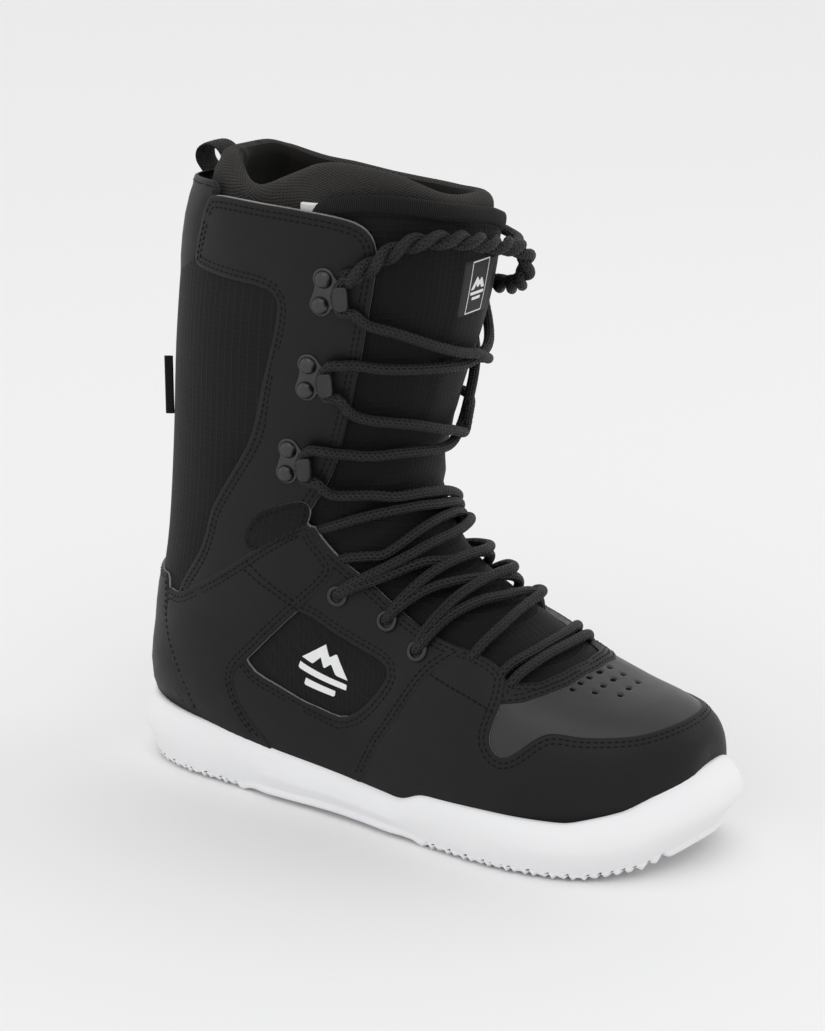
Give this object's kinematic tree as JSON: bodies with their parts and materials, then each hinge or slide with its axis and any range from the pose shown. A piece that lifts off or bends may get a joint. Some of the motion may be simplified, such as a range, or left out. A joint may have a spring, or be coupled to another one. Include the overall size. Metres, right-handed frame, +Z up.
{
  "type": "snowboard boot",
  "caption": "Right-foot laced snowboard boot with a cup sole, panelled upper, padded inner boot, tongue, lace hooks and eyelets, and an ankle that flexes.",
  "frame": {"origin": "on the ground, under the centre of the boot's bounding box", "axes": "+X towards the toe, +Y towards the medial side, +Z up"},
  "size_m": [0.3119, 0.1262, 0.3034],
  "materials": {
    "rubber": "matt moulded white rubber",
    "board": "pressed fibre board",
    "vamp_leather": "smooth satin black synthetic leather",
    "leather": "satin black synthetic leather with stitched edges",
    "ripstop": "coated black ripstop textile",
    "mesh": "padded dark knit lining",
    "webbing": "ribbed black webbing",
    "label": "white woven label",
    "cord": "round braided black cord",
    "metal": "gunmetal plating"
  },
  "bodies": {
    "foot": {"outsole": "rubber", "lasting_board": "board", "footbed": "mesh", "toe_foxing": "leather", "vamp": "vamp_leather", "heel_counter": "leather", "quarter_lateral": "leather", "quarter_medial": "leather", "side_window_lateral": "ripstop", "side_window_medial": "ripstop", "heel_foxing_lateral": "leather", "heel_foxing_medial": "leather", "liner_foot": "mesh", "tongue_lower": "ripstop", "lace_lower": "cord", "eyelet_lateral_1": "metal", "eyelet_lateral_2": "metal", "eyelet_lateral_3": "metal", "eyelet_medial_1": "metal", "eyelet_medial_2": "metal", "eyelet_medial_3": "metal"},
    "shaft": {"shaft_panel_lateral": "leather", "shaft_panel_medial": "leather", "back_panel": "ripstop", "collar_pad": "leather", "liner_cuff": "mesh", "tongue_upper": "ripstop", "tongue_binding": "webbing", "tongue_label": "label", "lace_upper": "cord", "size_tag": "label", "hook_lateral_1": "metal", "rivet_lateral_1_low": "metal", "rivet_lateral_1_high": "metal", "hook_lateral_2": "metal", "rivet_lateral_2_low": "metal", "rivet_lateral_2_high": "metal", "hook_lateral_3": "metal", "rivet_lateral_3_low": "metal", "rivet_lateral_3_high": "metal", "hook_medial_1": "metal", "rivet_medial_1_low": "metal", "rivet_medial_1_high": "metal", "hook_medial_2": "metal", "rivet_medial_2_low": "metal", "rivet_medial_2_high": "metal", "hook_medial_3": "metal", "rivet_medial_3_low": "metal", "rivet_medial_3_high": "metal"},
    "loop": {"pull_loop": "webbing"},
    "flag": {"flag_label": "webbing"}
  },
  "joints": [
    {"name": "ankle_flex", "type": "hinge", "parent": "foot", "child": "shaft", "pos_m": [-0.075, 0, 0.108], "axis": [0, 1, 0], "range_deg": [-3, 8], "stiffness_Nm_per_rad": 60},
    {"name": "pull_loop_swing", "type": "hinge", "parent": "shaft", "child": "loop", "pos_m": [-0.1125, 0, 0.2935], "axis": [0, 1, 0], "range_deg": [-12, 0], "stiffness_Nm_per_rad": 0.05},
    {"name": "flag_label_flap", "type": "hinge", "parent": "shaft", "child": "flag", "pos_m": [-0.129, -0.0195, 0.184], "axis": [0, 0, 1], "range_deg": [-20, 20], "stiffness_Nm_per_rad": 0.01}
  ]
}
